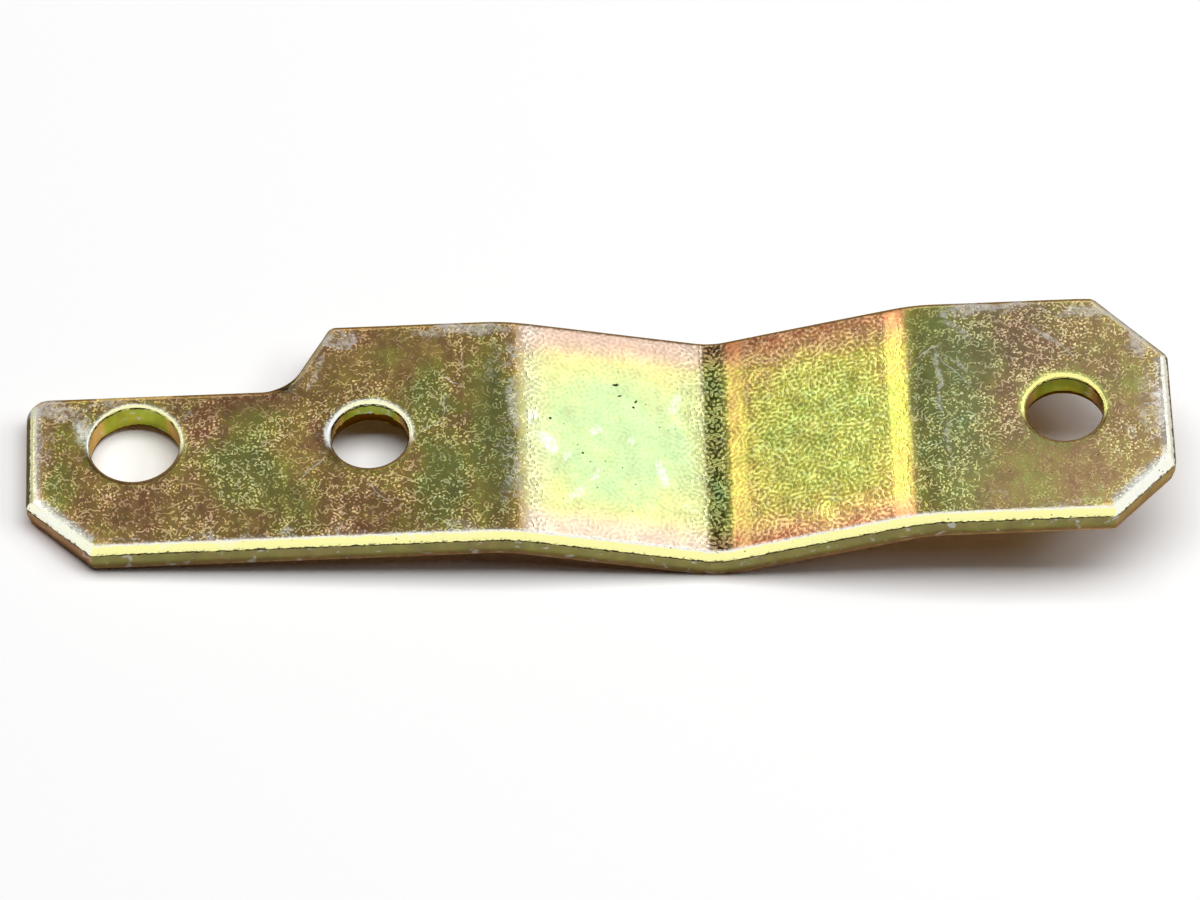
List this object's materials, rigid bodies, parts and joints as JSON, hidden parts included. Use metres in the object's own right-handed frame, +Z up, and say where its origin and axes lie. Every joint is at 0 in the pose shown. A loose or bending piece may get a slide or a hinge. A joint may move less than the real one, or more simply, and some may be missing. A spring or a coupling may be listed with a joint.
{
  "type": "stamped bracket",
  "caption": "Stamped strip bracket with a shallow V pressed across its middle, a stepped narrow tongue at one end, cut corners and pierced bolt holes.",
  "frame": {"origin": "middle of the bounding box's underside, on the surface that the bracket lies on", "axes": "+X along the strip from the narrow tongue to the full-width end, +Y across it towards the stepped edge, +Z up. The bracket lies as it comes to rest, tipped 4.44 degrees with the tongue down"},
  "size_m": [0.1328, 0.031, 0.0142],
  "materials": {
    "zinc_yellow": "steel, zinc plated and yellow passivated: a fine crinkled satin sheen that shifts between gold, olive green and copper pink, with grey rub marks"
  },
  "bodies": {
    "root": {"bracket": "zinc_yellow"}
  },
  "joints": []
}
